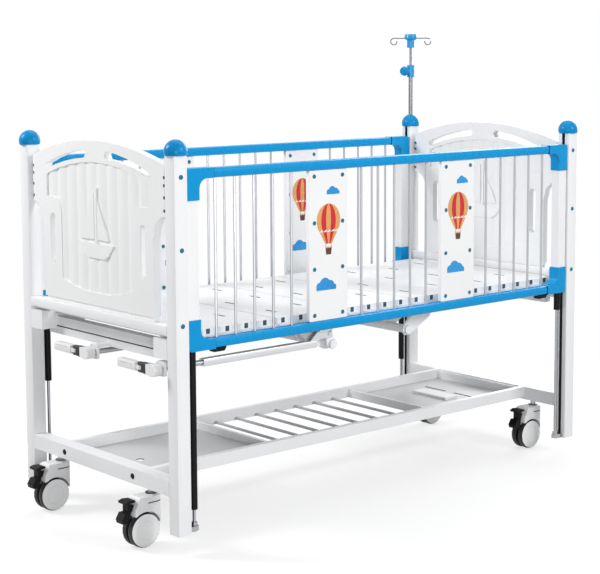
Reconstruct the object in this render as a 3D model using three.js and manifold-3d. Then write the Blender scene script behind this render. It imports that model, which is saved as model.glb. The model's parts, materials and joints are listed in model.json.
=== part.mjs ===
// Pediatric hospital cot: millimetres, +Z up, +X to the head end, -Y to the patient's left side.
import * as THREE from "three";
import { mergeVertices } from "three/addons/utils/BufferGeometryUtils.js";
import Module from "manifold-3d";

const wasm = await Module();
wasm.setup();

// Fits
const FIT = 0.3;
const TURN = 0.5;
const SLIDE = 1;

// Posts and caps
const POST_PITCH_X = 1632;
const POST_PITCH_Y = 747;
const POST_SIZE = 45;
const POST_WALL = 2.5;
const POST_BOTTOM = 59;
const POST_TOP = 1100;
const GROOVE_WIDTH = 12;
const GROOVE_DEPTH = 9;
const CAP_RADIUS = 34;
const CAP_HEIGHT = 44;

// Casters
const WHEEL_DIAMETER = 100;
const WHEEL_WIDTH = 19;
const WHEEL_SPLIT = 10;
const WHEEL_TRAIL = 36;
const HOOD_GAP = 4;
const HOOD_RISE = 42;
const HOOD_SIDE = 2;
const STEM_DIAMETER = 11;
const STEM_CLEAR = 18;
const CASTER_INSET = 138;

// Lower crossbars and shelf
const CROSSBAR_HEIGHT = 44;
const SHELF_WIDTH = 430;
const SHELF_HEIGHT = 36;
const SHELF_BOARD = 20;
const SHELF_ROD = 10;
const SHELF_ROD_PITCH = 85;
const SHELF_RODS = 7;

// Mattress frame and deck
const DECK_TOP = 609;
const DECK_DEPTH = 18;
const DECK_SHEET = 3;
const DECK_WIDTH = 650;
const DECK_GAP = 3;
const CALF_LENGTH = 357;
const THIGH_LENGTH = 274;
const SEAT_LENGTH = 271;
const END_TUBE_HEIGHT = 28;
const BEAM_HEIGHT = 53;
const SIDE_RAIL_WIDTH = 30;
const SIDE_RAIL_HEIGHT = 35;

// Lift mechanism and cranks
const CRANK_HEIGHT = 514;
const CRANK_BACK_Y = 12;
const CRANK_THIGH_Y = -318;
const CRANK_ARM = 62;
const CRANK_CLEAR = 3;
const CRANK_SHAFT = 16;
const GRIP_LENGTH = 84;
const GRIP_WIDTH = 26;
const GRIP_HEIGHT = 25;
const TORQUE_HEIGHT = 505;
const TORQUE_DIAMETER = 27;
const BEARING_LEAN = 85;
const DRAW_BAR_LENGTH = 420;
const DRAW_BAR_SETBACK = 66;
const SHAFT_ENGAGED = 266;
const LEVER_LENGTH = 38;
const LIFT_ARM_Y = 200;
const ROLLER_RADIUS = 12;
const THIGH_ARM_REACH = 96.6;
const BACK_ARM_REACH = 180.1;
const THIGH_LEVER_SWING = 23;
const BACK_LEVER_SWING = 27;

// Drop-side rails
const RAIL_TOP = 1063;
const RAIL_BOTTOM = 565;
const RAIL_END_GAP = 2.5;
const RAIL_BAR_HEIGHT = 28;
const RAIL_BAR_WIDTH = 34;
const BRACKET_PROUD = 2;
const BRACKET_ARM = 91;
const BRACKET_LEG = 86;
const BRACKET_WIDTH = 40;
const BRACKET_FILLET = 26;
const STILE_WALL = 2;
const STILE_MARGIN = 3.5;
const BAR_DIAMETER = 8;
const BAR_STEPS = 20;
const RAIL_PANEL_WIDTH = 150;
const RAIL_PANEL_THICKNESS = 14;

// Guide rods and sleeves
const ROD_DIAMETER = 10;
const ROD_INSET = 46;
const SLEEVE_DIAMETER = 21;
const SLEEVE_BOTTOMS = { foot_left: 121, foot_right: 364, head_left: 504, head_right: 225 };

// End panels
const PANEL_THICKNESS = 24;
const PANEL_TOP = 1126;
const PANEL_TOP_RADIUS = 1060;
const PANEL_TAB_GAP = 14;
const PANEL_TAB_FOOT = 934;
const PANEL_NOTCH = 52;
const FLUTE_PITCH = 52;
const FLUTE_CREASE = 6;
const FLUTE_CREST = 1.5;

// Infusion pole
const POLE_DIAMETER = 16;
const POLE_INNER = 10;
const POLE_CLAMP_RISE = 182;
const POLE_CLAMP_HEIGHT = 44;
const POLE_HUB_RISE = 290;
const POLE_HUB_HEIGHT = 50;
const POLE_HUB_DIAMETER = 48;
const POLE_NECK_DIAMETER = 28;
const KNOB_DIAMETER = 36;
const HOOK_REACH = 75;
const HOOK_RADIUS = 12;
const HOOK_WIRE = 4.4;
const HOOK_TURN = -40;

// Positions that follow from the sizes above
const postX = POST_PITCH_X / 2;
const postY = POST_PITCH_Y / 2;
const postHalf = POST_SIZE / 2;
const innerX = postX - postHalf;
const innerY = postY - postHalf;
const outerX = postX + postHalf;
const wheelRadius = WHEEL_DIAMETER / 2;
const hoodTop = WHEEL_DIAMETER + HOOD_GAP + HOOD_RISE;
const crossbarBottom = hoodTop + STEM_CLEAR;
const crossbarTop = crossbarBottom + CROSSBAR_HEIGHT;
const casterY = postY - CASTER_INSET;
const deckBottom = DECK_TOP - DECK_DEPTH;
const deckEnd = innerX - 7.5;
const sideRailTop = deckBottom - FIT;
const sideRailBottom = sideRailTop - SIDE_RAIL_HEIGHT;
const sideRailOuter = DECK_WIDTH / 2 + 6;
const sideRailInner = sideRailOuter - SIDE_RAIL_WIDTH;
const beamTop = sideRailTop - 12;
const beamBottom = beamTop - BEAM_HEIGHT;
const calfHingeX = -deckEnd + CALF_LENGTH;
const thighHingeX = calfHingeX + THIGH_LENGTH;
const backHingeX = thighHingeX + SEAT_LENGTH;
const thighTubeX = thighHingeX - 55;
const backTubeX = backHingeX + 14;
const rollerRestZ = DECK_TOP - DECK_SHEET - ROLLER_RADIUS - 2;
const railEnd = innerX - RAIL_END_GAP;
const barPitch = (2 * (railEnd - BRACKET_ARM - 15)) / BAR_STEPS;
const rodX = postX - ROD_INSET;

const WHITE = { color: 0xf1f3f4, roughness: 0.4, metalness: 0.05 };
const CREAM = { color: 0xf4f4f1, roughness: 0.5, metalness: 0 };
const BLUE = { color: 0x1692d6, roughness: 0.35, metalness: 0.05 };
const BLACK = { color: 0x1d1e20, roughness: 0.6, metalness: 0 };
const STEEL = { color: 0xa9adb2, roughness: 0.3, metalness: 0.9 };

const rad = (degrees) => (degrees * Math.PI) / 180;

// A three.js geometry as a solid, with its seams closed.
function solid(geometry) {
  const open = geometry.index ? geometry.toNonIndexed() : geometry.clone();
  open.deleteAttribute("normal");
  open.deleteAttribute("uv");
  const whole = mergeVertices(open, 1e-4);
  const vertProperties = new Float32Array(whole.attributes.position.array);
  const triVerts = new Uint32Array(whole.index.array);
  return new wasm.Manifold(new wasm.Mesh({ numProp: 3, vertProperties, triVerts }));
}

function mesh(name, piece, look) {
  const made = piece.getMesh();
  const count = made.numProp;
  const positions = new Float32Array(made.numVert * 3);
  for (let i = 0; i < made.numVert; i++) {
    positions.set(made.vertProperties.subarray(i * count, i * count + 3), i * 3);
  }
  const geometry = new THREE.BufferGeometry();
  geometry.setAttribute("position", new THREE.BufferAttribute(positions, 3));
  geometry.setIndex(new THREE.BufferAttribute(new Uint32Array(made.triVerts), 1));
  geometry.computeVertexNormals();
  const result = new THREE.Mesh(geometry, new THREE.MeshStandardMaterial(look));
  result.name = name;
  return result;
}

function fuse(...pieces) {
  return pieces.reduce((whole, piece) => whole.add(piece));
}

function cut(piece, ...tools) {
  return tools.reduce((rest, tool) => rest.subtract(tool), piece);
}

function box(x0, x1, y0, y1, z0, z1) {
  const made = new THREE.BoxGeometry(x1 - x0, y1 - y0, z1 - z0);
  return solid(made.translate((x0 + x1) / 2, (y0 + y1) / 2, (z0 + z1) / 2));
}

function cylinderX(radius, x0, x1, y, z, sides = 12) {
  const made = new THREE.CylinderGeometry(radius, radius, x1 - x0, sides);
  return solid(made.rotateZ(-Math.PI / 2).translate((x0 + x1) / 2, y, z));
}

function cylinderY(radius, y0, y1, x, z, sides = 12) {
  const made = new THREE.CylinderGeometry(radius, radius, y1 - y0, sides);
  return solid(made.translate(x, (y0 + y1) / 2, z));
}

function cylinderZ(radius, z0, z1, x, y, sides = 12) {
  const made = new THREE.CylinderGeometry(radius, radius, z1 - z0, sides);
  return solid(made.rotateX(Math.PI / 2).translate(x, y, (z0 + z1) / 2));
}

function shapeOf(points) {
  return new THREE.Shape(points.map(([u, v]) => new THREE.Vector2(u, v)));
}

// Prisms of an outline: (x, y) along Z, (y, z) along X and (x, z) along Y.
function extrusion(points, depth) {
  return new THREE.ExtrudeGeometry(shapeOf(points), { depth, bevelEnabled: false });
}

function prismZ(points, z0, z1) {
  return solid(extrusion(points, z1 - z0).translate(0, 0, z0));
}

function prismX(points, x0, x1) {
  const turn = new THREE.Matrix4().makeBasis(
    new THREE.Vector3(0, 1, 0),
    new THREE.Vector3(0, 0, 1),
    new THREE.Vector3(1, 0, 0),
  );
  return solid(extrusion(points, x1 - x0).applyMatrix4(turn).translate(x0, 0, 0));
}

function prismY(points, y0, y1) {
  const turn = new THREE.Matrix4().makeRotationX(Math.PI / 2);
  return solid(extrusion(points, y1 - y0).applyMatrix4(turn).translate(0, y1, 0));
}

function lathe(profile, sides) {
  const points = profile.map(([r, z]) => new THREE.Vector2(r, z));
  return solid(new THREE.LatheGeometry(points, sides).rotateX(Math.PI / 2));
}

function arc(u, v, radius, from, to, steps) {
  const points = [];
  for (let i = 0; i <= steps; i++) {
    const angle = rad(from + ((to - from) * i) / steps);
    points.push([u + radius * Math.cos(angle), v + radius * Math.sin(angle)]);
  }
  return points;
}

function roundedBox(width, height, radius, u = 0, v = 0) {
  const a = width / 2 - radius;
  const b = height / 2 - radius;
  return [
    ...arc(u + a, v + b, radius, 0, 90, 2),
    ...arc(u - a, v + b, radius, 90, 180, 2),
    ...arc(u - a, v - b, radius, 180, 270, 2),
    ...arc(u + a, v - b, radius, 270, 360, 2),
  ];
}

// A bar with round ends from one point to another.
function link(u0, v0, u1, v1, r0, r1, steps = 4) {
  const heading = (Math.atan2(v1 - v0, u1 - u0) * 180) / Math.PI;
  return [
    ...arc(u1, v1, r1, heading - 90, heading + 90, steps),
    ...arc(u0, v0, r0, heading + 90, heading + 270, steps),
  ];
}

function mirrored(points) {
  return points.map(([u, v]) => [-u, v]).reverse();
}

const cot = new THREE.Group();
cot.name = "pediatric_hospital_cot";

function group(name, ...pieces) {
  const made = new THREE.Group();
  made.name = name;
  made.add(...pieces);
  cot.add(made);
}

const corners = [
  { name: "foot_left", x: -1, y: -1 },
  { name: "foot_right", x: -1, y: 1 },
  { name: "head_left", x: 1, y: -1 },
  { name: "head_right", x: 1, y: 1 },
];
const poleCorner = corners[3];

// Posts: a square extrusion with a guide groove on its inner X face
const pocketEdge = postHalf - GROOVE_DEPTH - POST_WALL;
const pocketBack = -postHalf + POST_WALL;
const pocketHalf = postHalf - POST_WALL;
const pocketMid = (pocketEdge + pocketBack) / 2;

function post(corner) {
  const body = prismZ(roundedBox(POST_SIZE, POST_SIZE, 4), POST_BOTTOM, POST_TOP);
  const grooveFloor = postHalf - GROOVE_DEPTH;
  const half = GROOVE_WIDTH / 2;
  const groove = box(grooveFloor, postHalf + 1, -half, half, POST_BOTTOM - 1, POST_TOP + 1);
  const pocket = box(pocketBack, pocketEdge, -pocketHalf, pocketHalf, POST_BOTTOM - 1, POST_TOP + 1);
  const turned = corner.x < 0 ? 0 : 180;
  return cut(body, groove, pocket)
    .rotate([0, 0, turned])
    .translate([corner.x * postX, corner.y * postY, 0]);
}

// Caps: a dome with a plug that sits in the post
function cap(corner) {
  const rise = CAP_HEIGHT - 10;
  const dome = [];
  for (let i = 0; i <= 4; i++) {
    const angle = rad(22.5 * i);
    dome.push([CAP_RADIUS * Math.cos(angle), 10 + rise * Math.sin(angle)]);
  }
  dome[4][0] = 0;
  const profile = [[0, 0], [CAP_RADIUS - 3, 0], ...dome];
  const plugLength = (pocketEdge - pocketBack) / 2 - SLIDE;
  const plugWidth = pocketHalf - SLIDE;
  const plugMid = -corner.x * pocketMid;
  const plug = box(plugMid - plugLength, plugMid + plugLength, -plugWidth, plugWidth, -16, 2);
  const whole = fuse(lathe(profile, 20), plug);
  const bore = cylinderZ(POLE_DIAMETER / 2 + FIT, -20, CAP_HEIGHT + 5, 0, 0);
  const made = corner === poleCorner ? cut(whole, bore) : whole;
  return made.translate([corner.x * postX, corner.y * postY, POST_TOP + FIT]);
}

// End panels: an arched board, fluted on both faces, with slots and a raised sailing boat
const tabHalf = innerY - PANEL_TAB_GAP;
const waistHalf = tabHalf - PANEL_NOTCH - 5;
const fieldHalf = waistHalf - 18;
const panelFoot = DECK_TOP + END_TUBE_HEIGHT + 13;
const panelHeight = PANEL_TOP - panelFoot;
const topArcZ = PANEL_TOP - PANEL_TOP_RADIUS;
const tabTop = topArcZ + Math.sqrt(PANEL_TOP_RADIUS ** 2 - tabHalf ** 2);
const fieldTop = PANEL_TOP - 62;
const fieldRadius = 735;
const fieldFoot = panelFoot + 34;
const fieldNarrow = fieldHalf - 78;
const fieldEdge = fieldTop - fieldHalf ** 2 / (2 * fieldRadius);
const fieldStep = fieldFoot + 0.804 * (fieldEdge - fieldFoot);
const tabHeight = tabTop - PANEL_TAB_FOOT;

function symmetric(half) {
  return [...half, ...mirrored(half)];
}

function panelOutline() {
  const top = [];
  for (let i = 0; i <= 6; i++) {
    const y = (tabHalf * i) / 6;
    top.push([y, topArcZ + Math.sqrt(PANEL_TOP_RADIUS ** 2 - y ** 2)]);
  }
  const notch = arc(tabHalf, PANEL_TAB_FOOT - PANEL_NOTCH, PANEL_NOTCH, 90, 180, 4);
  const half = [...top, ...notch, [waistHalf, PANEL_TAB_FOOT - PANEL_NOTCH - 14], [waistHalf, panelFoot]];
  return symmetric(half.slice(1)).concat([[0, PANEL_TOP]]);
}

function fieldOutline() {
  const top = [];
  for (let i = 1; i <= 4; i++) {
    const y = (fieldHalf * i) / 4;
    top.push([y, fieldTop - (y * y) / (2 * fieldRadius)]);
  }
  const step = arc(fieldNarrow + 40, fieldStep - 40, 40, 90, 180, 3);
  const foot = [];
  for (let i = 0; i < 3; i++) {
    const y = fieldNarrow * (1 - i / 3);
    foot.push([y, fieldFoot + (28 * y * y) / (fieldNarrow * fieldNarrow)]);
  }
  const half = [...top, [fieldHalf, fieldStep], ...step, ...foot];
  return symmetric(half).concat([[0, fieldTop]]);
}

function crescent() {
  const middle = PANEL_TOP - 37;
  const bend = 720;
  const inner = 56;
  const outer = waistHalf - 18;
  const upper = [];
  const lower = [];
  for (let i = 0; i <= 4; i++) {
    const y = inner + ((outer - inner) * i) / 4;
    const z = middle - (y * y) / (2 * bend);
    const half = 11.5 - 3 * (i / 4) ** 2;
    upper.push([y, z + half]);
    lower.push([y, z - half]);
  }
  const blunt = [outer + 7, middle - (outer + 7) ** 2 / (2 * bend)];
  const round = [inner - 7, middle - inner ** 2 / (2 * bend)];
  return [...lower, blunt, ...upper.reverse(), round];
}

function fluteCutter(face) {
  const half = Math.ceil(fieldHalf / FLUTE_PITCH);
  const points = [];
  for (let k = -half; k < half; k++) {
    for (let i = 0; i < 3; i++) {
      const rise = Math.sin((Math.PI * i) / 3);
      const depth = FLUTE_CREASE - (FLUTE_CREASE - FLUTE_CREST) * rise;
      points.push([face - depth, (k + i / 3) * FLUTE_PITCH]);
    }
  }
  points.push([face - FLUTE_CREASE, half * FLUTE_PITCH]);
  points.push([face + 5, half * FLUTE_PITCH]);
  points.push([face + 5, -half * FLUTE_PITCH]);
  return prismZ(points, panelFoot, PANEL_TOP).intersect(prismX(fieldOutline(), face - 20, face + 10));
}

function boat(x0, x1) {
  const base = panelFoot + panelHeight * 0.29;
  const keel = [[-62, base + 10], [-40, base], [42, base], [66, base + 12]];
  const hull = [[-88, base + 42], ...keel, [92, base + 44]];
  const mainSail = [[9, base + 54], [78, base + 54], [58, base + 100], [36, base + 146], [9, base + 190]];
  const foreSail = [[-9, base + 54], [-9, base + 168], [-36, base + 112], [-66, base + 54]];
  const mast = [[-5, base + 40], [5, base + 40], [5, base + 204], [-5, base + 204]];
  return [hull, mainSail, foreSail, mast].map((points) => prismX(points, x0, x1));
}

function endPanel(side) {
  const half = PANEL_THICKNESS / 2;
  const slot = link(231, panelFoot + 113, 231, panelFoot + 241, 14, 14, 3);
  let piece = prismX(panelOutline(), -half, half);
  for (const outline of [crescent(), slot]) {
    piece = cut(piece, prismX(outline, -half - 1, half + 1));
    piece = cut(piece, prismX(mirrored(outline), -half - 1, half + 1));
  }
  const cutter = fluteCutter(half);
  piece = cut(piece, cutter, cutter.rotate([0, 0, 180]));
  piece = fuse(piece, ...boat(-half - 1.5, half + 1.5));
  const lipBottom = DECK_TOP + END_TUBE_HEIGHT + FIT;
  piece = fuse(piece, box(-half + 3, half - 3, -waistHalf + 4, waistHalf - 4, lipBottom, panelFoot + 5));
  for (const share of [0.23, 0.39, 0.63, 0.89]) {
    const pegZ = tabTop - share * tabHeight;
    for (const hand of [-1, 1]) {
      const a = hand * (tabHalf - 4);
      const b = hand * (innerY - FIT);
      piece = fuse(piece, cylinderY(3.5, Math.min(a, b), Math.max(a, b), 0, pegZ, 6));
    }
  }
  return piece.translate([side * postX, 0, 0]);
}

// Lower crossbars: square tubes with holes for the caster stems
function crossbar(side) {
  const near = innerX + 0.5;
  const reach = innerY - FIT;
  const wall = 2.5;
  const tube = box(near, outerX, -reach, reach, crossbarBottom, crossbarTop);
  const floor = crossbarBottom + wall;
  const inside = box(near + wall, outerX - wall, -reach - 1, reach + 1, floor, crossbarTop - wall);
  const hole = STEM_DIAMETER / 2 + TURN;
  const left = cylinderZ(hole, crossbarBottom - 1, floor + 1, postX, -casterY);
  const right = cylinderZ(hole, crossbarBottom - 1, floor + 1, postX, casterY);
  const made = cut(tube, inside, left, right);
  return side > 0 ? made : made.rotate([0, 0, 180]);
}

// Under-shelf: side boards, dividers, rods and two end trays
function shelf() {
  const end = innerX + 0.5 - FIT;
  const outer = SHELF_WIDTH / 2;
  const inner = outer - SHELF_BOARD;
  const top = crossbarTop;
  const bottom = top - SHELF_HEIGHT;
  const divider = ((SHELF_RODS + 1) / 2) * SHELF_ROD_PITCH;
  const floorTop = bottom + 5;
  const pieces = [];
  pieces.push(box(-end, end, -outer, -inner, bottom, top));
  pieces.push(box(-end, end, inner, outer, bottom, top));
  for (const side of [-1, 1]) {
    const a = side * divider;
    pieces.push(box(a - 6, a + 6, -inner - 1, inner + 1, bottom, top - 9));
    const b = side * (end - 6);
    pieces.push(box(b - 6, b + 6, -inner - 1, inner + 1, bottom, top - 4));
    const from = Math.min(a, b);
    const to = Math.max(a, b);
    pieces.push(box(from, to, -inner - 1, inner + 1, bottom + 2, floorTop));
  }
  for (let k = 0; k < SHELF_RODS; k++) {
    const x = (k - (SHELF_RODS - 1) / 2) * SHELF_ROD_PITCH;
    pieces.push(cylinderY(SHELF_ROD / 2, -inner - 1, inner + 1, x, bottom + 7, 6));
  }
  const middle = (divider + end) / 2;
  pieces.push(box(middle - 30, middle + 30, -80, 80, floorTop - 1, floorTop + 8));
  const hole = cylinderZ(13, bottom, floorTop + 2, -end + 93, -18);
  const slotLeft = box(middle + 70, middle + 80, -120, -20, bottom, floorTop + 2);
  const slotRight = box(middle + 70, middle + 80, 20, 120, bottom, floorTop + 2);
  return cut(fuse(...pieces), hole, slotLeft, slotRight);
}

// Mattress frame: end tubes, grooved end beams, corner blocks, side rails, seat members, bearing plates
function bearing(x, lean, side) {
  const face = side * sideRailInner;
  const front = Math.min(face, face - side * 8);
  const topX = x + lean * BEARING_LEAN;
  const outline = link(x, TORQUE_HEIGHT, topX, sideRailBottom + 4, 20, 28, 3);
  const plate = prismY(outline, front, front + 8);
  const hole = cylinderY(TORQUE_DIAMETER / 2 + TURN, front - 1, front + 9, x, TORQUE_HEIGHT, 14);
  const seam = Math.min(face + side, face - side * 8);
  const foot = box(topX - 22, topX + 22, seam, seam + 9, sideRailTop - 20, sideRailTop);
  return { plate, foot, hole };
}

function frameEnd(side) {
  const tubeReach = innerY - FIT;
  const tubeTop = DECK_TOP + END_TUBE_HEIGHT;
  const blockInner = innerY - 62;
  const beamFront = innerX - 7.5;
  const beamBack = beamFront - 30;
  const pieces = [];
  const tubeMid = tubeTop - END_TUBE_HEIGHT / 2;
  const tube = roundedBox(POST_SIZE - 0.5, END_TUBE_HEIGHT, 3, postX, tubeMid);
  pieces.push(prismY(tube, -tubeReach, tubeReach));
  const groove = box(beamFront - 3, beamFront + 1, -blockInner, blockInner, beamTop - 31, beamTop - 27);
  pieces.push(cut(box(beamBack, beamFront, -sideRailOuter, sideRailOuter, beamBottom, beamTop), groove));
  for (const hand of [-1, 1]) {
    const y0 = hand < 0 ? -tubeReach : blockInner;
    const y1 = hand < 0 ? -blockInner : tubeReach;
    pieces.push(box(beamFront - 6, outerX, y0, y1, deckBottom - 48, deckBottom - 2));
    pieces.push(box(beamFront + 3, outerX, y0, y1, deckBottom - 6, deckBottom + 8));
    pieces.push(box(beamFront + 9, innerX + 14, y0 + 12, y1 - 12, deckBottom, tubeTop - 6));
  }
  const made = fuse(...pieces);
  return side > 0 ? made : made.rotate([0, 0, 180]);
}

function crankHanger(y) {
  const back = -outerX + 10;
  const low = Math.min(CRANK_HEIGHT - 19, beamBottom);
  const top = Math.max(CRANK_HEIGHT + 19, beamBottom + 11);
  const plate = prismX(roundedBox(38, top - low, 6, y, (low + top) / 2), back - 8, back);
  const arm = box(back - 8, -innerX + 12, y - 9, y + 9, beamBottom, beamBottom + 11);
  return cut(fuse(plate, arm), cylinderX(CRANK_SHAFT / 2 + TURN, back - 9, back + 1, y, CRANK_HEIGHT));
}

const memberFront = backHingeX - 39;
const memberBack = thighHingeX + 15;

function mattressFrame() {
  const reach = innerX - 12;
  const pieces = [frameEnd(-1), frameEnd(1)];
  pieces.push(box(-reach, reach, -sideRailOuter, -sideRailInner, sideRailBottom, sideRailTop));
  pieces.push(box(-reach, reach, sideRailInner, sideRailOuter, sideRailBottom, sideRailTop));
  const inside = sideRailInner + 1;
  pieces.push(box(memberFront, memberFront + 25, -inside, inside, sideRailTop - 26, sideRailTop));
  pieces.push(box(memberBack, memberBack + 25, -inside, inside, sideRailTop - 26, sideRailTop));
  pieces.push(crankHanger(CRANK_BACK_Y), crankHanger(CRANK_THIGH_Y));
  const holes = [];
  for (const side of [-1, 1]) {
    for (const made of [bearing(thighTubeX, -1, side), bearing(backTubeX, 1, side)]) {
      pieces.push(made.plate, made.foot);
      holes.push(made.hole);
    }
  }
  return cut(fuse(...pieces), ...holes);
}

// Deck sections: pans with a top sheet, a turned-down rim and punched slots
function deckSection(from, to, slotColumns, slotRows) {
  const x0 = from + DECK_GAP / 2;
  const x1 = to - DECK_GAP / 2;
  const half = DECK_WIDTH / 2;
  const outside = prismZ(roundedBox(x1 - x0, 2 * half, 8, (x0 + x1) / 2, 0), deckBottom, DECK_TOP);
  const inside = box(x0 + 4, x1 - 4, -half + 4, half - 4, deckBottom - 1, DECK_TOP - DECK_SHEET);
  let piece = cut(outside, inside);
  const stepX = (x1 - x0) / slotColumns;
  const stepY = (2 * half - 60) / slotRows;
  for (let i = 0; i < slotColumns; i++) {
    for (let j = 0; j < slotRows; j++) {
      const x = x0 + (i + 0.5) * stepX;
      const y = -half + 30 + (j + 0.5) * stepY + (i % 2 ? 22 : -22);
      const slot = link(x, y - 26, x, y + 26, 5, 5, 1);
      piece = cut(piece, prismZ(slot, DECK_TOP - DECK_SHEET - 1, DECK_TOP + 1));
    }
  }
  return piece;
}

// Cross tubes: a lever for the draw bar and two lift arms with rollers
function torqueTube(x, armReach, armWay, leverY, leverSwing) {
  const reach = sideRailInner + 7;
  const tipX = x + armWay * armReach;
  const pinX = x + armWay * LEVER_LENGTH * Math.sin(rad(leverSwing));
  const pinZ = TORQUE_HEIGHT + LEVER_LENGTH * Math.cos(rad(leverSwing));
  const from = Math.min(-reach, leverY - 14);
  const pieces = [cylinderY(TORQUE_DIAMETER / 2, from, reach, x, TORQUE_HEIGHT, 14)];
  for (const side of [-1, 1]) {
    const y = side * LIFT_ARM_Y;
    pieces.push(prismY(link(x, TORQUE_HEIGHT, tipX, rollerRestZ, 18, 10, 2), y - 5, y + 5));
    pieces.push(cylinderY(ROLLER_RADIUS, y - 12, y + 12, tipX, rollerRestZ, 10));
  }
  pieces.push(prismY(link(x, TORQUE_HEIGHT, pinX, pinZ, 19, 9, 2), leverY - 4, leverY + 4));
  pieces.push(cylinderY(5, leverY - 11, leverY + 11, pinX, pinZ, 8));
  return fuse(...pieces);
}

// Draw bars: a tube over the crank screw, with a fork that carries the lever pin in a slot
function drawBar(x0, x1, pinX, leverSwing, y) {
  const z = CRANK_HEIGHT;
  const rise = TORQUE_HEIGHT + LEVER_LENGTH * Math.cos(rad(leverSwing));
  const low = TORQUE_HEIGHT + TORQUE_DIAMETER / 2 + 8;
  const half = (rise + 12 - low) / 2;
  const tube = prismX(roundedBox(24, 22, 3, y, z), x0, x1);
  const root = link(x1 - 20, z, x1 + half, low + half, 10, half, 2);
  const tines = [];
  for (const from of [y - 10, y + 5.5]) {
    tines.push(prismY(root, from, from + 4.5));
    tines.push(box(x1 + half, pinX + 13, from, from + 4.5, low, low + 2 * half));
  }
  const slot = prismY(link(pinX, rise, pinX, TORQUE_HEIGHT + LEVER_LENGTH, 6.2, 6.2), y - 12, y + 12);
  const bore = cylinderX(CRANK_SHAFT / 2 + TURN, x0 - 1, x1 - 36, y, z);
  return cut(fuse(tube, ...tines), slot, bore);
}

// Cranks: a shaft with an arm that ends in a knuckle, and a grip that folds on the knuckle pin
const crankBack = -outerX - CRANK_CLEAR;
const crankFront = crankBack - GRIP_WIDTH;
const crankMiddle = (crankFront + crankBack) / 2;
const earHalf = GRIP_HEIGHT / 2;
const forkHalf = earHalf - 6;
const knuckleRadius = GRIP_WIDTH / 2;

function crankShaft(y, end) {
  const z = CRANK_HEIGHT;
  const hinge = y + CRANK_ARM;
  const shaft = cylinderX(CRANK_SHAFT / 2, crankBack - 5, end, y, z);
  const collar = cylinderX(13, crankBack - 1, -outerX + 2 - SLIDE, y, z);
  const arm = prismX(link(y, z, hinge - 20, z, 18, earHalf, 4), crankFront, crankBack);
  const outline = link(crankMiddle, hinge - 24, crankMiddle, hinge, knuckleRadius, knuckleRadius, 3);
  const ears = prismZ(outline, z - earHalf, z + earHalf);
  const back = hinge - knuckleRadius - SLIDE;
  const gap = box(crankFront - 5, crankBack + 5, back, hinge + 20, z - forkHalf, z + forkHalf);
  const pin = cylinderZ(4, z - forkHalf - 2, z + forkHalf + 2, crankMiddle, hinge, 8);
  return fuse(cut(fuse(shaft, collar, arm, ears), gap), pin);
}

function crankGrip(y) {
  const z = CRANK_HEIGHT;
  const hinge = y + CRANK_ARM;
  const inner = hinge + knuckleRadius + 4;
  const outer = inner + GRIP_LENGTH;
  const outline = link(crankMiddle, hinge, crankMiddle, inner + 5, knuckleRadius - 1.5, 9, 3);
  const tongue = prismZ(outline, z - forkHalf + FIT, z + forkHalf - FIT);
  const block = prismY(roundedBox(GRIP_WIDTH, GRIP_HEIGHT, 5, crankMiddle, z), inner, outer);
  const slot = box(crankFront - 1, crankFront + 2.5, inner + 14, outer - 12, z + 3.5, z + 6.5);
  const hole = cylinderZ(4 + TURN, z - 20, z + 20, crankMiddle, hinge, 8);
  return cut(fuse(tongue, block), slot, hole);
}

// Drop-side rails: blue bars with corner brackets, a welded ladder of thin bars and two boards
const stileOut = railEnd - 0.5;
const stileIn = railEnd - BRACKET_WIDTH + STILE_MARGIN;
const stileHalf = RAIL_BAR_WIDTH / 2 - 2;
const bracketHalf = RAIL_BAR_WIDTH / 2 + BRACKET_PROUD;
const slotHalf = BAR_DIAMETER / 2 + TURN;
const slotDepth = 9;
const legInner = railEnd - BRACKET_WIDTH;

function bracketOutline() {
  const f = BRACKET_FILLET;
  return [
    [railEnd - BRACKET_ARM, RAIL_BAR_HEIGHT + 1],
    [railEnd - BRACKET_ARM, 0],
    ...arc(legInner - f, -f, f, 90, 0, 4),
    [legInner, RAIL_BAR_HEIGHT - BRACKET_LEG],
    [railEnd, RAIL_BAR_HEIGHT - BRACKET_LEG],
    ...arc(railEnd - 8, RAIL_BAR_HEIGHT - 7, 8, 0, 90, 2),
  ];
}

// One blue bar with its two brackets, drawn as the top one with z = 0 at the bar's inner face.
function railBar() {
  const arm = railEnd - BRACKET_ARM;
  const section = roundedBox(RAIL_BAR_WIDTH, RAIL_BAR_HEIGHT, 8, 0, RAIL_BAR_HEIGHT / 2);
  const bar = prismX(section, -arm - 5, arm + 5);
  const slot = box(-stileIn, stileIn, -slotHalf, slotHalf, -1, slotDepth + FIT);
  const tongueHalf = GROOVE_WIDTH / 2 - FIT;
  const tongueReach = innerX + GROOVE_DEPTH - 2 * SLIDE;
  let piece = bar;
  for (const outline of [bracketOutline(), mirrored(bracketOutline())]) {
    piece = fuse(piece, prismY(outline, -bracketHalf, bracketHalf));
  }
  piece = fuse(piece, box(railEnd - 20, tongueReach, -tongueHalf, tongueHalf, 12, RAIL_BAR_HEIGHT - 2));
  piece = fuse(piece, box(-tongueReach, -railEnd + 20, -tongueHalf, tongueHalf, 12, RAIL_BAR_HEIGHT - 2));
  const cavityHalf = stileHalf + FIT;
  for (const side of [-1, 1]) {
    const x0 = side < 0 ? -railEnd - 1 : stileIn - FIT;
    const x1 = side < 0 ? -stileIn + FIT : railEnd + 1;
    piece = cut(piece, box(x0, x1, -cavityHalf, cavityHalf, -BRACKET_LEG - 1, slotDepth + FIT));
  }
  return cut(piece, slot);
}

function topBar() {
  return railBar().translate([0, 0, RAIL_TOP - RAIL_BAR_HEIGHT]);
}

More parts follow.
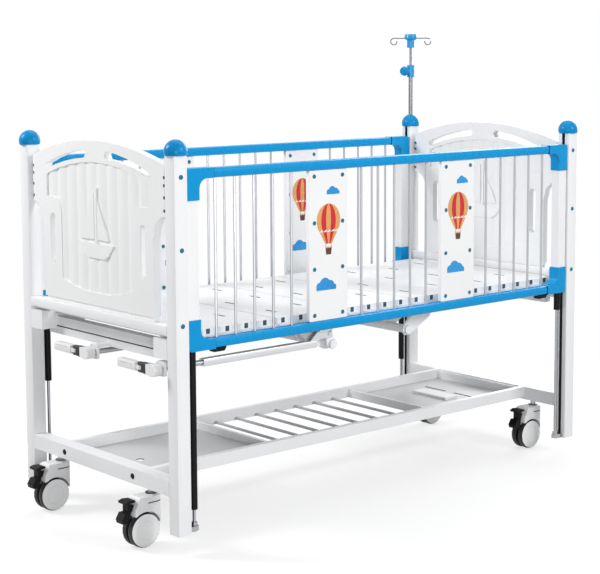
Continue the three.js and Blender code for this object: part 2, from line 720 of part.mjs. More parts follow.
function bottomBar() {
  const turned = railBar().rotate([180, 0, 0]).translate([0, 0, RAIL_BOTTOM + RAIL_BAR_HEIGHT]);
  const radius = SLEEVE_DIAMETER / 2 + 2;
  const left = cylinderZ(radius, RAIL_BOTTOM - 2, RAIL_BOTTOM + RAIL_BAR_HEIGHT, -rodX, 0, 10);
  const right = cylinderZ(radius, RAIL_BOTTOM - 2, RAIL_BOTTOM + RAIL_BAR_HEIGHT, rodX, 0, 10);
  return cut(turned, left, right);
}

const panelPlaces = [-0.2, 0.2].map((share) => share * BAR_STEPS);

function ladder() {
  const low = RAIL_BOTTOM + RAIL_BAR_HEIGHT - slotDepth;
  const high = RAIL_TOP - RAIL_BAR_HEIGHT + slotDepth;
  const strip = BAR_DIAMETER / 2;
  const pieces = [];
  for (const side of [-1, 1]) {
    const a = Math.min(side * stileIn, side * stileOut);
    const b = Math.max(side * stileIn, side * stileOut);
    const tube = box(a, b, -stileHalf, stileHalf, low, high);
    const wall = STILE_WALL;
    const inside = box(a + wall, b - wall, -stileHalf + wall, stileHalf - wall, low - 1, high + 1);
    pieces.push(cut(tube, inside));
  }
  pieces.push(box(-stileIn - 1, stileIn + 1, -strip, strip, low, low + 6));
  pieces.push(box(-stileIn - 1, stileIn + 1, -strip, strip, high - 6, high));
  for (let k = -BAR_STEPS / 2; k <= BAR_STEPS / 2; k++) {
    if (panelPlaces.every((place) => Math.abs(k - place) > 1.5)) {
      pieces.push(cylinderZ(BAR_DIAMETER / 2, low + 3, high - 3, k * barPitch, 0, 6));
    }
  }
  return fuse(...pieces);
}

function railPanel(place) {
  const low = RAIL_BOTTOM + RAIL_BAR_HEIGHT + FIT;
  const high = RAIL_TOP - RAIL_BAR_HEIGHT - FIT;
  const outline = roundedBox(RAIL_PANEL_WIDTH, high - low, 4, place * barPitch, (low + high) / 2);
  return prismY(outline, -RAIL_PANEL_THICKNESS / 2, RAIL_PANEL_THICKNESS / 2);
}

// Guide rods with a foot on the post, and the black sleeves on them
function guideRod(corner) {
  const x = corner.x * rodX;
  const y = corner.y * postY;
  const bottom = POST_BOTTOM + 2;
  const face = corner.x * (innerX - FIT);
  const foot = prismZ(link(face - corner.x * 14, y, x, y, 14, 13, 3), bottom, bottom + 14);
  const square = box(Math.min(x, face), Math.max(x, face), y - 12, y + 12, bottom, bottom + 14);
  const collar = cylinderZ(9, bottom + 10, bottom + 24, x, y, 8);
  const rod = cylinderZ(ROD_DIAMETER / 2, bottom + 5, RAIL_BOTTOM + 58, x, y, 8);
  return fuse(foot, square, collar, rod);
}

function sleeve(corner) {
  const x = corner.x * rodX;
  const y = corner.y * postY;
  const bottom = SLEEVE_BOTTOMS[corner.name];
  const top = RAIL_BOTTOM + 53;
  const body = cylinderZ(SLEEVE_DIAMETER / 2, bottom, top, x, y, 12);
  return cut(body, cylinderZ(ROD_DIAMETER / 2 + FIT, bottom - 1, top + 1, x, y, 8));
}

// Casters: a bonnet with a stem, a twin wheel on its axle and a brake pedal that rocks on a pin
const hubZ = wheelRadius;
const hoodInner = wheelRadius + HOOD_GAP;
const hoodHalf = WHEEL_SPLIT / 2 + WHEEL_WIDTH + HOOD_SIDE;
const hoodFront = -WHEEL_TRAIL - 0.67 * hoodInner;
const pedalPinX = hoodFront + 9;
const pedalPinZ = hoodTop - 30;

// The bonnet from above, round about the stem and drawn in by a margin.
function hoodPlan(margin) {
  const half = hoodHalf - margin;
  const nose = hoodFront + margin + 8;
  return [
    ...arc(0, 0, half, -90, 90, 8),
    ...arc(nose, half - 8, 8, 90, 180, 2),
    ...arc(nose, -half + 8, 8, 180, 270, 2),
  ];
}

function bonnet() {
  const under = arc(-WHEEL_TRAIL, hubZ, hoodInner, 15, 128, 8);
  const lip = hubZ + 0.87 * hoodInner;
  const nose = [[hoodFront, lip], [hoodFront + 1, hoodTop - 36], [hoodFront + 10, hoodTop - 16]];
  const crown = [[hoodFront + 14, hoodTop - 5], [hoodFront + 20, hoodTop], [hoodHalf - 8, hoodTop]];
  const back = [[hoodHalf - 2, hoodTop - 3], [hoodHalf + 1, hoodTop - 10]];
  const skirt = [[hoodHalf + 1, hubZ + 0.83 * hoodInner], [hoodHalf - 5, hubZ + 0.34 * hoodInner]];
  const side = prismY([...under, ...nose, ...crown, ...back, ...skirt], -hoodHalf, hoodHalf);
  const shoulder = [[hoodHalf, 0], ...arc(hoodHalf - 7, hoodTop - 7, 7, 0, 90, 2)];
  const front = prismX(symmetric(shoulder), hoodFront - 5, hoodHalf + 5);
  return side.intersect(prismZ(hoodPlan(0), 0, hoodTop + 1)).intersect(front);
}

function casterHood(corner) {
  const x = -WHEEL_TRAIL;
  const webHalf = WHEEL_SPLIT / 2 - SLIDE;
  const roof = [[x + 38, hubZ + hoodInner * 0.75], [x, hubZ + hoodInner + 2], [x - 30, hubZ + hoodInner * 0.86]];
  const web = prismY([[x - 13, hubZ], [x + 13, hubZ], ...roof], -webHalf, webHalf);
  const boss = cylinderY(14, -webHalf, webHalf, x, hubZ);
  const axle = cylinderY(5 + TURN, -webHalf - 1, webHalf + 1, x, hubZ, 12);
  const band = prismZ(hoodPlan(-1), hoodTop - 20, hoodTop - 17);
  const core = prismZ(hoodPlan(2), hoodTop - 21, hoodTop - 16);
  const seam = cut(band, core, box(hoodFront - 5, x + 8, -hoodHalf - 5, hoodHalf + 5, 0, hoodTop));
  const mouth = prismY(link(pedalPinX, pedalPinZ, pedalPinX - 40, pedalPinZ, 11, 11, 3), -8, 8);
  const pin = cylinderY(3.5, -10, 10, pedalPinX, pedalPinZ, 8);
  const flange = cylinderZ(17, hoodTop - 1, hoodTop + 4, 0, 0, 14);
  const sleeve = cylinderZ(9, hoodTop + 3, crossbarBottom - SLIDE, 0, 0, 10);
  const stem = cylinderZ(STEM_DIAMETER / 2, hoodTop + 3, crossbarBottom + 28, 0, 0, 8);
  const body = cut(fuse(bonnet(), web, boss), axle, seam, mouth);
  return fuse(body, pin, flange, sleeve, stem).translate([corner.x * postX, corner.y * casterY, 0]);
}

function casterWheel(corner) {
  const r = wheelRadius;
  const a = WHEEL_SPLIT / 2;
  const b = a + WHEEL_WIDTH;
  const disc = [[0, a], [r - 2, a], [r, a + 4], [r, b - 5], [r - 3, b], [0, b + 1]];
  const right = lathe(disc, 22).rotate([-90, 0, 0]);
  const left = lathe(disc, 22).rotate([90, 0, 0]);
  const whole = fuse(right, left, cylinderY(5, -a - 1, a + 1, 0, 0, 10));
  return whole.translate([corner.x * postX - WHEEL_TRAIL, corner.y * casterY, hubZ]);
}

function brakePedal(corner) {
  const x = pedalPinX;
  const z = pedalPinZ;
  const lug = link(x, z, x - 17, z, 8, 8, 3);
  const neck = [[x - 25, z - 18], [x - 15, z - 18], [x - 14, z + 12], [x - 17, z + 22], [x - 25, z + 22]];
  const upper = [[x - 35, z + 17], [x - 3, z + 20], [x - 3, z + 25], [x - 23, z + 27], [x - 36, z + 23]];
  const heel = [[x - 47, z - 26], [x - 44, z - 37], [x - 27, z - 38]];
  const lower = [...heel, [x - 19, z - 20], [x - 19, z - 8], [x - 36, z - 8]];
  const pads = fuse(prismY(upper, -19, 19), prismY(lower, -16, 16));
  const whole = fuse(prismY(lug, -7, 7), prismY(neck, -13, 13), pads);
  const hole = cylinderY(3.5 + TURN, -8, 8, x, z, 10);
  return cut(whole, hole).translate([corner.x * postX, corner.y * casterY, 0]);
}

// Infusion pole: a lower tube with a clamp, the clamp knob, and an upper rod with a hub and two hooks
const poleX = poleCorner.x * postX;
const poleY = poleCorner.y * postY;
const clampLow = POST_TOP + POLE_CLAMP_RISE;
const clampMid = clampLow + POLE_CLAMP_HEIGHT / 2;

function poleLower() {
  const collarRadius = POLE_DIAMETER / 2 + 6;
  const tube = cylinderZ(POLE_DIAMETER / 2, POST_TOP - 150, clampLow + 5, 0, 0);
  const collar = prismZ(arc(0, 0, collarRadius, 0, 330, 11), clampLow, clampLow + POLE_CLAMP_HEIGHT);
  const boss = cylinderX(9, -collarRadius - 6, 0, 0, clampMid, 12);
  const bore = cylinderZ(POLE_INNER / 2 + TURN, POST_TOP - 200, clampLow + 60, 0, 0);
  const thread = cylinderX(3 + TURN, -collarRadius - 10, -2, 0, clampMid, 12);
  return cut(fuse(tube, collar, boss), bore, thread).translate([poleX, poleY, 0]);
}

function poleKnob() {
  const start = POLE_DIAMETER / 2 + 12 + SLIDE;
  const r = KNOB_DIAMETER / 2;
  const profile = [[0, 0], [8, 0], [r - 2, 5], [r, 12], [r - 2, 19], [r - 6, 24], [0, 24]];
  const head = lathe(profile, 12).rotate([0, -90, 0]).translate([-start, 0, clampMid]);
  const screw = cylinderX(3, -start - 2, -POLE_INNER / 2 - 0.4, 0, clampMid, 10);
  return fuse(head, screw).translate([poleX, poleY, 0]);
}

function poleUpper() {
  const hubLow = POST_TOP + POLE_HUB_RISE;
  const hubTop = hubLow + POLE_HUB_HEIGHT;
  const r = POLE_HUB_DIAMETER / 2;
  const neck = POLE_NECK_DIAMETER / 2;
  const flange = [[neck, hubLow + 27], [r - 4, hubLow + 30], [r, hubLow + 38], [r - 3, hubTop]];
  const profile = [[0, hubLow], [neck, hubLow], ...flange, [0, hubTop]];
  const rod = cylinderZ(POLE_INNER / 2, POST_TOP - 90, hubLow + 5, 0, 0, 12);
  const wire = shapeOf(arc(0, 0, HOOK_WIRE / 2, 0, 288, 4));
  const curlX = HOOK_REACH - HOOK_RADIUS;
  const curlZ = hubLow + 35 - HOOK_RADIUS;
  const straight = [[r - 10, hubLow + 35], [(r + curlX) / 2, hubLow + 35]];
  const route = [...straight, ...arc(curlX, curlZ, HOOK_RADIUS, 90, -190, 7)];
  const curve = new THREE.CatmullRomCurve3(route.map((at) => new THREE.Vector3(at[0], 0, at[1])));
  const sweep = { steps: 22, bevelEnabled: false, extrudePath: curve };
  const hook = solid(new THREE.ExtrudeGeometry(wire, sweep));
  const turned = [hook.rotate([0, 0, HOOK_TURN]), hook.rotate([0, 0, HOOK_TURN + 180])];
  return fuse(lathe(profile, 14), rod, ...turned).translate([poleX, poleY, 0]);
}

// Assembly
const thighPinX = thighTubeX - LEVER_LENGTH * Math.sin(rad(THIGH_LEVER_SWING));
const backPinX = backTubeX + LEVER_LENGTH * Math.sin(rad(BACK_LEVER_SWING));
const drawTo = thighTubeX - DRAW_BAR_SETBACK;
const drawFrom = drawTo - DRAW_BAR_LENGTH;
const shaftEnd = drawFrom + SHAFT_ENGAGED;
const thighTube = torqueTube(thighTubeX, THIGH_ARM_REACH, -1, CRANK_THIGH_Y, THIGH_LEVER_SWING);
const backTube = torqueTube(backTubeX, BACK_ARM_REACH, 1, CRANK_BACK_Y, BACK_LEVER_SWING);
const thighBar = drawBar(drawFrom, drawTo, thighPinX, THIGH_LEVER_SWING, CRANK_THIGH_Y);
const backBar = drawBar(drawFrom, drawTo, backPinX, BACK_LEVER_SWING, CRANK_BACK_Y);

for (const corner of corners) {
  group(
    "corner_" + corner.name,
    mesh("post_" + corner.name, post(corner), WHITE),
    mesh("post_cap_" + corner.name, cap(corner), BLUE),
    mesh("guide_rod_" + corner.name, guideRod(corner), STEEL),
    mesh("sleeve_" + corner.name, sleeve(corner), BLACK),
  );
  group(
    "caster_" + corner.name,
    mesh("caster_hood_" + corner.name, casterHood(corner), WHITE),
    mesh("caster_wheel_" + corner.name, casterWheel(corner), BLACK),
    mesh("brake_pedal_" + corner.name, brakePedal(corner), BLACK),
  );
}

group(
  "ends",
  mesh("end_panel_foot", endPanel(-1), CREAM),
  mesh("end_panel_head", endPanel(1), CREAM),
  mesh("lower_crossbar_foot", crossbar(-1), WHITE),
  mesh("lower_crossbar_head", crossbar(1), WHITE),
  mesh("under_shelf", shelf(), WHITE),
);

group(
  "mattress_platform",
  mesh("mattress_frame", mattressFrame(), WHITE),
  mesh("calf_section", deckSection(-deckEnd, calfHingeX, 2, 3), WHITE),
  mesh("thigh_section", deckSection(calfHingeX, thighHingeX, 2, 3), WHITE),
  mesh("seat_section", deckSection(thighHingeX, backHingeX, 2, 3), WHITE),
  mesh("back_section", deckSection(backHingeX, deckEnd, 4, 3), WHITE),
);

group(
  "lift_mechanism",
  mesh("cross_tube_thigh", thighTube, WHITE),
  mesh("cross_tube_back", backTube, WHITE),
  mesh("draw_bar_thigh", thighBar, STEEL),
  mesh("draw_bar_back", backBar, STEEL),
  mesh("crank_shaft_thigh", crankShaft(CRANK_THIGH_Y, shaftEnd), WHITE),
  mesh("crank_shaft_back", crankShaft(CRANK_BACK_Y, shaftEnd), WHITE),
  mesh("crank_grip_thigh", crankGrip(CRANK_THIGH_Y), CREAM),
  mesh("crank_grip_back", crankGrip(CRANK_BACK_Y), CREAM),
);

for (const [name, side] of [["left", -1], ["right", 1]]) {
  const at = [0, side * postY, 0];
  group(
    "rail_" + name,
    mesh("rail_top_bar_" + name, topBar().translate(at), BLUE),
    mesh("rail_bottom_bar_" + name, bottomBar().translate(at), BLUE),
    mesh("rail_ladder_" + name, ladder().translate(at), STEEL),
    mesh("rail_panel_foot_" + name, railPanel(panelPlaces[0]).translate(at), CREAM),
    mesh("rail_panel_head_" + name, railPanel(panelPlaces[1]).translate(at), CREAM),
  );
}

group(
  "infusion_pole",
  mesh("pole_lower_tube", poleLower(), STEEL),
  mesh("pole_clamp_knob", poleKnob(), BLUE),
  mesh("pole_upper_rod", poleUpper(), STEEL),
);

// The origin is on the floor under the middle of the bounding box.
const bounds = new THREE.Box3().setFromObject(cot);
const centre = bounds.getCenter(new THREE.Vector3());
cot.position.set(-centre.x, -centre.y, -bounds.min.z);

export default cot;
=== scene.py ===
"""Looks, light and camera for the pediatric hospital cot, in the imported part's frame, in metres."""

import json
import math

import bmesh
import bpy
from mathutils import Matrix, Vector


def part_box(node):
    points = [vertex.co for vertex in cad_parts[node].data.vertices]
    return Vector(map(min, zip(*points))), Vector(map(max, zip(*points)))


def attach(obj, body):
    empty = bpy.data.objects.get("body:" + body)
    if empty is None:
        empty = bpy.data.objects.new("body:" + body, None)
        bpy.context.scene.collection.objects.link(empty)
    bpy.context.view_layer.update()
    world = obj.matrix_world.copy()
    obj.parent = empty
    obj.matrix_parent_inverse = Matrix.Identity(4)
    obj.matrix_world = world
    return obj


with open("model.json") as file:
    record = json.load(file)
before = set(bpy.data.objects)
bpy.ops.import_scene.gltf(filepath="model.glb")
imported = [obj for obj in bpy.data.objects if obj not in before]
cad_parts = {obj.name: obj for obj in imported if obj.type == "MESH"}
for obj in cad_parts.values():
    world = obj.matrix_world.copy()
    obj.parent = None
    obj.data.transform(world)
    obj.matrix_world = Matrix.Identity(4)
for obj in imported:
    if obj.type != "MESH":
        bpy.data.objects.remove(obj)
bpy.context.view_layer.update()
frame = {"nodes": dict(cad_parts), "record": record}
nodes = frame["nodes"]

CORNERS = ("foot_left", "foot_right", "head_left", "head_right")
SIDES = ("left", "right")
ENDS = (("foot", -1), ("head", 1))

# The middle of the four posts, from which the details below are placed.
MID_X = (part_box("post_foot_left")[0].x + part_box("post_head_left")[1].x) / 2
MID_Y = (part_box("post_foot_left")[0].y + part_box("post_foot_right")[1].y) / 2
POST_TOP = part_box("post_foot_left")[1].z
DECK_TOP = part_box("seat_section")[1].z
SHELF_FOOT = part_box("under_shelf")[0].z


# Materials

MASK_SOFT = 0.0006  # width of a mask's edge
BUMP_DEPTH = 0.0003


class Look:
    """A procedural material on the piece's own coordinates, in metres."""

    def __init__(self, name, metal=0.0, specular=0.5):
        self.mat = bpy.data.materials.new(name)
        self.mat.use_nodes = True
        self.nodes = self.mat.node_tree.nodes
        self.links = self.mat.node_tree.links
        self.bsdf = self.nodes["Principled BSDF"]
        self.bsdf.inputs["Metallic"].default_value = metal
        self.bsdf.inputs["Specular IOR Level"].default_value = specular
        self.coord = self.nodes.new("ShaderNodeTexCoord").outputs["Object"]
        self.parts = None

    def put(self, value, socket):
        """Links a socket, or sets it to a number or an opaque colour."""
        if isinstance(value, bpy.types.NodeSocket):
            self.links.new(value, socket)
        elif isinstance(value, tuple):
            socket.default_value = (*value, 1.0)
        else:
            socket.default_value = value

    def math(self, operation, a, b=0.0, clamp=False):
        node = self.nodes.new("ShaderNodeMath")
        node.operation = operation
        node.use_clamp = clamp
        for value, socket in zip((a, b), node.inputs):
            self.put(value, socket)
        return node.outputs[0]

    def axis(self, letter, origin=0.0):
        """The place along an axis, measured from the origin."""
        if self.parts is None:
            node = self.nodes.new("ShaderNodeSeparateXYZ")
            self.links.new(self.coord, node.inputs[0])
            self.parts = node.outputs
        return self.math("SUBTRACT", self.parts[letter], origin)

    def off(self, letter, origin):
        """The distance along an axis from the origin, to either side."""
        return self.math("ABSOLUTE", self.axis(letter, origin))

    def distance(self, a, b):
        squares = self.math("ADD", self.math("MULTIPLY", a, a), self.math("MULTIPLY", b, b))
        return self.math("SQRT", squares)

    def above(self, value, edge, soft=MASK_SOFT):
        """0 below the edge and 1 above it."""
        start = self.math("SUBTRACT", value, edge - soft / 2)
        return self.math("DIVIDE", start, soft, clamp=True)

    def below(self, value, edge, soft=MASK_SOFT):
        """1 below the edge and 0 above it."""
        return self.math("SUBTRACT", 1.0, self.above(value, edge, soft))

    def both(self, a, b):
        """1 where both masks are 1."""
        return self.math("MULTIPLY", a, b)

    def within(self, value, low, high):
        """1 between the two edges."""
        return self.both(self.above(value, low), self.below(value, high))

    def noise(self, scale, detail=2.0, stretch=None):
        node = self.nodes.new("ShaderNodeTexNoise")
        node.inputs["Scale"].default_value = scale
        node.inputs["Detail"].default_value = detail
        coord = self.coord
        if stretch:
            turn = self.nodes.new("ShaderNodeMapping")
            turn.inputs["Scale"].default_value = stretch
            self.links.new(coord, turn.inputs["Vector"])
            coord = turn.outputs[0]
        self.links.new(coord, node.inputs["Vector"])
        return node.outputs["Fac"]

    def spread(self, noise, low=0.0, high=1.0, start=0.3, end=0.7):
        """The middle part of a noise, stretched from low to high."""
        node = self.nodes.new("ShaderNodeMapRange")
        for value, socket in zip((noise, start, end, low, high), node.inputs):
            self.put(value, socket)
        return node.outputs[0]

    def blend(self, mask, off, on):
        """One number where the mask is 0 and another where it is 1."""
        return self.spread(mask, off, on, 0.0, 1.0)

    def mix(self, factor, a, b):
        node = self.nodes.new("ShaderNodeMix")
        node.data_type = "RGBA"
        self.put(factor, node.inputs[0])
        self.put(a, node.inputs[6])
        self.put(b, node.inputs[7])
        return node.outputs[2]

    def tone(self, base, other, scale):
        """A colour with faint clouds of another."""
        return self.mix(self.spread(self.noise(scale, 3.0)), base, other)

    def colour(self, value):
        self.put(value, self.bsdf.inputs["Base Color"])

    def rough(self, value):
        self.put(value, self.bsdf.inputs["Roughness"])

    def metal(self, value):
        self.put(value, self.bsdf.inputs["Metallic"])

    def bump(self, height, strength, depth=BUMP_DEPTH):
        node = self.nodes.new("ShaderNodeBump")
        node.inputs["Strength"].default_value = strength
        node.inputs["Distance"].default_value = depth
        self.put(height, node.inputs["Height"])
        self.links.new(node.outputs[0], self.bsdf.inputs["Normal"])


def coat(name, base, other, rough=(0.32, 0.36), specular=0.5, marked=None):
    """Powder coat or enamel: faint cloudiness and the fine ripple of a sprayed surface."""
    look = Look(name, specular=specular)
    body = look.tone(base, other, scale=5.0)
    look.colour(marked(look, body) if marked else body)
    look.rough(look.spread(look.noise(38.0), *rough))
    look.bump(look.noise(520.0, 1.0), strength=0.08)
    return look


def moulding(name, base, other, rough=(0.36, 0.48), grain=0.1, specular=0.5):
    """Moulded plastic with a fine skin grain."""
    look = Look(name, specular=specular)
    look.colour(look.tone(base, other, scale=7.0))
    look.rough(look.spread(look.noise(60.0), *rough))
    look.bump(look.noise(900.0), strength=grain)
    return look


def plated(name, base, other, rough=(0.14, 0.26), stretch=(400.0, 400.0, 12.0)):
    """Bright plated or drawn steel with faint lines along its length."""
    look = Look(name, metal=1.0)
    drawn = look.noise(1.0, stretch=stretch)
    look.colour(look.mix(look.spread(drawn), base, other))
    look.rough(look.spread(drawn, *rough))
    look.bump(drawn, strength=0.05, depth=0.0002)
    return look


WHITE = (0.84, 0.845, 0.855)
WHITE_DULL = (0.815, 0.82, 0.83)
PANEL = (0.85, 0.852, 0.855)
PANEL_DULL = (0.83, 0.832, 0.835)
HOOD_WHITE = (0.87, 0.872, 0.875)
HUB_WHITE = (0.93, 0.932, 0.935)
HUB_DULL = (0.91, 0.912, 0.915)
HUB_LINE = (0.72, 0.725, 0.74)
CREAM = (0.84, 0.84, 0.83)
CREAM_DULL = (0.82, 0.82, 0.81)
BLUE = (0.004, 0.295, 0.64)
BLUE_DEEP = (0.003, 0.28, 0.61)
# the joint line at the rail brackets, partly real joint and partly painted shade
JOINT_SHADE_BLUE = (0.002, 0.05, 0.11)
CAP_BLUE = (0.003, 0.25, 0.56)
CAP_DEEP = (0.002, 0.235, 0.53)
TEAL = (0.008, 0.11, 0.19)
TEAL_PALE = (0.014, 0.17, 0.25)
BLACK = (0.004, 0.004, 0.005)
BLACK_DULL = (0.007, 0.007, 0.008)
STEEL = (0.42, 0.43, 0.45)
STEEL_DULL = (0.37, 0.38, 0.40)
BAR_STEEL = (0.50, 0.51, 0.53)
STEM_STEEL = (0.44, 0.45, 0.47)
STEM_DARK = (0.10, 0.10, 0.11)
POLE_STEEL = (0.22, 0.225, 0.24)
POLE_DULL = (0.19, 0.195, 0.21)
ZINC = (0.66, 0.67, 0.69)
ZINC_DULL = (0.58, 0.59, 0.61)
# painted shade on the shelf's white-coated rods
ROD_SHADE_GREY = (0.50, 0.505, 0.515)
# painted shade inside the deck's slots and the gaps between its sections
CUT_SHADE_GREY = (0.07, 0.07, 0.075)
# painted shadow of the rail bars on the deck's rim
BAR_SHADOW_GREY = (0.045, 0.06, 0.075)
# dark pegs, and painted shade in the gap between the panels' tabs and the posts
PEG_AND_GAP_SHADE = (0.05, 0.052, 0.056)
# painted shade inside the posts' guide grooves and on the cut edges of the trays' holes
HOLLOW_SHADE_GREY = (0.03, 0.03, 0.033)
# painted shade in the groove along each end beam
BEAM_SHADE_GREY = (0.02, 0.02, 0.022)
# painted shade in the caster hoods' grooves
HOOD_SLOT_SHADE = (0.012, 0.012, 0.014)

# Marks on the coated pieces, most of them painted shade and painted shadow. Places along and across
# the cot are from the middle of the posts.
BRACKET_LINE = (0.6986, 0.701)
DECK_SHEET = (-0.0026, -0.0005)  # from the deck's top
DECK_RIM = 0.319
DECK_FACE = 0.3242
# the painted shadows of the rail bars on the deck's rim: pitch, shift, share, softness and height
BAR_SHADOW_PITCH = 0.0685
BAR_SHADOW_SHIFT = 0.042
BAR_SHADOW_SHARE = 0.2
BAR_SHADOW_SOFT = 0.02
BAR_SHADOW_HEIGHT = (-0.016, -0.001)  # from the deck's top
POST_MIDDLE = 0.3735
GROOVE_REACH = (0.7941, 0.803)
GROOVE_HALF = 0.0063
BEAM_FACE = (0.7824, 0.7858)
BEAM_GROOVE = (-0.0615, -0.0571)  # from the deck's top
TRAY_SHEET = (0.0021, 0.0049)  # from the shelf's foot
TRAY_REACH = (0.347, 0.78)
SHELF_INSIDE = 0.194
ROD_ZONE = 0.27


def joint_shade_lines(look, body):
    """A dark line where each rail bracket meets its bar: a real joint, widened and darkened as
    painted shade of the gap.
    """
    return look.mix(look.within(look.off("X", MID_X), *BRACKET_LINE), body, JOINT_SHADE_BLUE)


def painted_cut_shade(look, body):
    """Painted shade on the cut edges in the deck's slots and between its sections."""
    inside = look.below(look.off("Y", MID_Y), DECK_RIM)
    sheet = look.within(look.axis("Z", DECK_TOP), *DECK_SHEET)
    return look.mix(look.both(inside, sheet), body, CUT_SHADE_GREY)


def painted_bar_shadows(look, body):
    """The painted shade of the deck's cut edges, and a row of painted shadows of the rail bars on the
    rim at its two sides.
    """
    turns = look.math("DIVIDE", look.axis("X", MID_X + BAR_SHADOW_SHIFT), BAR_SHADOW_PITCH)
    off = look.math("ABSOLUTE", look.math("SUBTRACT", look.math("FRACT", turns), 0.5))
    bar_shadow = look.below(off, BAR_SHADOW_SHARE / 2, BAR_SHADOW_SOFT)
    rim = look.within(look.axis("Z", DECK_TOP), *BAR_SHADOW_HEIGHT)
    rim = look.both(rim, look.above(look.off("Y", MID_Y), DECK_FACE))
    return look.mix(look.both(rim, bar_shadow), painted_cut_shade(look, body), BAR_SHADOW_GREY)


def painted_groove_shade(look, body):
    """Painted shade inside the guide groove in each post."""
    depth = look.within(look.off("X", MID_X), *GROOVE_REACH)
    across = look.math("SUBTRACT", look.off("Y", MID_Y), POST_MIDDLE)
    width = look.within(across, -GROOVE_HALF, GROOVE_HALF)
    return look.mix(look.both(depth, width), body, HOLLOW_SHADE_GREY)


def painted_beam_shade(look, body):
    """Painted shade as a dark line in the groove along each end beam."""
    depth = look.within(look.off("X", MID_X), *BEAM_FACE)
    height = look.within(look.axis("Z", DECK_TOP), *BEAM_GROOVE)
    return look.mix(look.both(depth, height), body, BEAM_SHADE_GREY)


def painted_shelf_shade(look, body):
    """The shelf's rods painted grey as shade, and painted shade on the cut edges of the holes in its
    trays.
    """
    along = look.off("X", MID_X)
    inside = look.below(look.off("Y", MID_Y), SHELF_INSIDE)
    body = look.mix(look.both(look.below(along, ROD_ZONE), inside), body, ROD_SHADE_GREY)
    tray = look.both(look.within(along, *TRAY_REACH), inside)
    sheet = look.within(look.axis("Z", SHELF_FOOT), *TRAY_SHEET)
    return look.mix(look.both(sheet, tray), body, HOLLOW_SHADE_GREY)


PEG_DROPS = (0.0605, 0.0824, 0.1153, 0.1509)  # from the posts' top
PEG_RADIUS = 0.0042
PEG_SOCKET = 0.3305  # from the cot's middle to the sockets in the panel's tabs
PEG_GAP = 0.3375  # and to the gap between the tabs and the posts


def made_panel():
    """End panels: white moulding with dark pegs in their sockets, and painted shade in the gap to the
    posts.
    """
    look = Look("panel_plastic")
    side = look.off("Y", MID_Y)
    # painted shade over the gap between the tabs and the posts
    peg_and_gap_shade = look.above(side, PEG_GAP)
    for drop in PEG_DROPS:
        near = look.below(look.off("Z", POST_TOP - drop), PEG_RADIUS)
        peg_and_gap_shade = look.math("MAXIMUM", peg_and_gap_shade, look.both(look.above(side, PEG_SOCKET), near))
    look.colour(look.mix(peg_and_gap_shade, look.tone(PANEL, PANEL_DULL, scale=6.0), PEG_AND_GAP_SHADE))
    look.rough(look.spread(look.noise(45.0), 0.34, 0.46))
    look.bump(look.noise(750.0), strength=0.08)
    return look


STILE_START = 0.75


def made_ladder():
    """Rail ladders: plated bars between white stiles."""
    look = Look("rail_ladder")
    stile = look.above(look.off("X", MID_X), STILE_START)
    drawn = look.noise(1.0, stretch=(400.0, 400.0, 12.0))
    steel = look.mix(look.spread(drawn), BAR_STEEL, STEEL)
    look.colour(look.mix(stile, steel, look.tone(WHITE, WHITE_DULL, scale=9.0)))
    look.metal(look.blend(stile, 0.7, 0.0))
    look.rough(look.blend(stile, 0.3, 0.33))
    look.bump(look.noise(520.0, 1.0), strength=0.06)
    return look


HUB_RADIUS = 0.0465
HUB_LIP = 0.0015
HUB_RING = (0.0265, 0.0275)


def made_wheel(corner):
    """Caster wheels: a pale hub disc with a thin ring, in a black tyre."""
    low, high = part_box("caster_wheel_" + corner)
    middle = (low + high) / 2
    look = Look("caster_wheel_" + corner)
    across = look.distance(look.axis("X", middle.x), look.axis("Z", middle.z))
    face = look.above(look.off("Y", middle.y), (high.y - low.y) / 2 - HUB_LIP)
    hub = look.both(look.below(across, HUB_RADIUS), face)
    ring = look.both(hub, look.within(across, *HUB_RING))
    disc = look.mix(ring, look.tone(HUB_WHITE, HUB_DULL, scale=12.0), HUB_LINE)
    look.colour(look.mix(hub, look.tone(BLACK, BLACK_DULL, scale=60.0), disc))
    look.rough(look.blend(hub, 0.55, 0.32))
    look.bump(look.noise(700.0), strength=0.1)
    return look


STEM_HEIGHT = 0.046  # above the hood's crown, from which the next three are measured
STEM_FOOT = 0.0004
STEM_COLLAR = 0.0042
HOOD_GROOVE = (-0.0202, -0.0168)
HOOD_GROOVE_START = -0.0282  # from the post's middle


def made_hood(corner):
    """Caster hoods: white moulding with painted shade in its groove, under a steel stem with a dark
    collar.
    """
    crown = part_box("caster_hood_" + corner)[1].z - STEM_HEIGHT
    post_low, post_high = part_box("post_" + corner)
    look = Look("caster_hood_" + corner)
    up = look.axis("Z", crown)
    along = look.axis("X", (post_low.x + post_high.x) / 2)
    stem = look.above(up, STEM_FOOT)
    collar = look.within(up, STEM_FOOT, STEM_COLLAR)
    # painted shade in the hood's groove
    groove = look.both(look.within(up, *HOOD_GROOVE), look.above(along, HOOD_GROOVE_START))
    body = look.mix(groove, look.tone(HOOD_WHITE, PANEL, scale=30.0), HOOD_SLOT_SHADE)
    look.colour(look.mix(stem, body, look.mix(collar, STEM_STEEL, STEM_DARK)))
    look.metal(stem)
    look.rough(look.blend(stem, 0.36, 0.3))
    look.bump(look.noise(800.0), strength=0.08)
    return look


CLAMP_RISE = 0.1815  # from the posts' top to the clamp's foot
HUB_RISE = 0.2885  # and to the foot of the pole's hub
HUB_REACH = 0.026  # from the pole's axis


